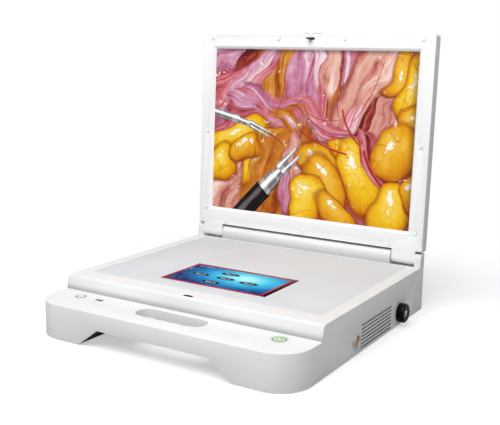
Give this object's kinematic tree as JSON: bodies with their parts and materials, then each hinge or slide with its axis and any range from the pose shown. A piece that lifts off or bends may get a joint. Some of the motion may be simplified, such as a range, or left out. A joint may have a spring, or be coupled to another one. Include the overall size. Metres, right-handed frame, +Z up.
{
  "type": "portable endoscopy unit",
  "caption": "Portable endoscopy unit: case with carrying shelf and touch display in its deck, side sockets and vent, and a large display lid on a friction hinge with a sliding latch.",
  "frame": {"origin": "on the floor, under the middle of the whole part's box with the lid as pictured", "axes": "+X towards the side with the sockets, +Y from the carrying shelf to the lid, +Z up"},
  "size_m": [0.3595, 0.3696, 0.3568],
  "materials": {
    "shell_white": "fine matt, painted",
    "deck_grey": "satin",
    "plate_dark": "powder coat",
    "rubber": "matt",
    "bumper": "matt",
    "steel": "brushed",
    "chrome": "polished",
    "brass": "gold plated",
    "black_plastic": "fine grained",
    "port_black": "black anodised",
    "glass_dark": "glossy",
    "window_dark": "glossy",
    "ring_green": "translucent",
    "ring_grey": "satin",
    "cap_white": "satin",
    "board": "solder mask",
    "module": "pressed frame round the panel",
    "engine": "black anodised",
    "spring": "wire"
  },
  "bodies": {
    "base": {"housing": "shell_white", "bottom_plate": "plate_dark", "rubber_feet": "rubber", "case_screws": "steel", "deck_panel": "deck_grey", "touch_glass": "glass_dark", "touch_display": "module", "hinge_ears": "shell_white", "barrel_cover": "shell_white", "hinge_sleeves": "steel", "latch_keeper": "steel", "side_vent": "shell_white", "camera_socket_ring": "chrome", "camera_socket_insert": "brass", "light_port": "port_black", "light_port_bush": "chrome", "light_engine": "engine", "heat_sink": "module", "fan_frame": "black_plastic", "main_board": "board", "board_standoffs": "brass", "camera_board": "board", "power_supply": "module", "button_boards": "board", "power_ring": "ring_green", "menu_ring": "ring_grey", "indicator_window": "window_dark", "rear_panel": "deck_grey", "mains_inlet": "black_plastic", "inlet_pins": "chrome", "rocker_frame": "black_plastic", "video_sockets": "chrome", "video_contacts": "brass"},
    "lid": {"lid_shell": "shell_white", "lid_bezel": "shell_white", "screen_panel": "glass_dark", "display_module": "module", "display_rails": "steel", "driver_board": "board", "inverter_board": "board", "hinge_arms": "steel", "lid_bumpers": "bumper", "lid_screws": "steel", "latch_spring": "spring"},
    "latch": {"latch_slider": "ring_grey", "latch_hook": "steel"},
    "fan": {"fan_rotor": "black_plastic"},
    "power_key": {"power_button": "cap_white"},
    "menu_key": {"menu_button": "cap_white"},
    "rocker_key": {"rocker": "black_plastic"}
  },
  "joints": [
    {"name": "lid_hinge", "type": "hinge", "parent": "base", "child": "lid", "pos_m": [0, 0.16673, 0.068], "axis": [-1, 0, 0], "range_deg": [-92, 38]},
    {"name": "latch_slide", "type": "slide", "parent": "lid", "child": "latch", "axis": [1, 0, 0], "range_m": [0, 0.003], "stiffness_N_per_m": 800, "springref_m": -0.002, "deforming": ["latch_spring"]},
    {"name": "fan_spin", "type": "hinge", "parent": "base", "child": "fan", "pos_m": [0.16125, 0.01823, 0.023], "axis": [1, 0, 0], "continuous": true},
    {"name": "power_press", "type": "slide", "parent": "base", "child": "power_key", "axis": [0, 0, -1], "range_m": [0, 0.001], "stiffness_N_per_m": 1000, "springref_m": -0.001},
    {"name": "menu_press", "type": "slide", "parent": "base", "child": "menu_key", "axis": [0, 0, -1], "range_m": [0, 0.001], "stiffness_N_per_m": 1000, "springref_m": -0.001},
    {"name": "rocker_tilt", "type": "hinge", "parent": "base", "child": "rocker_key", "pos_m": [-0.05475, 0.17073, 0.04025], "axis": [1, 0, 0], "range_deg": [0, 16]}
  ]
}
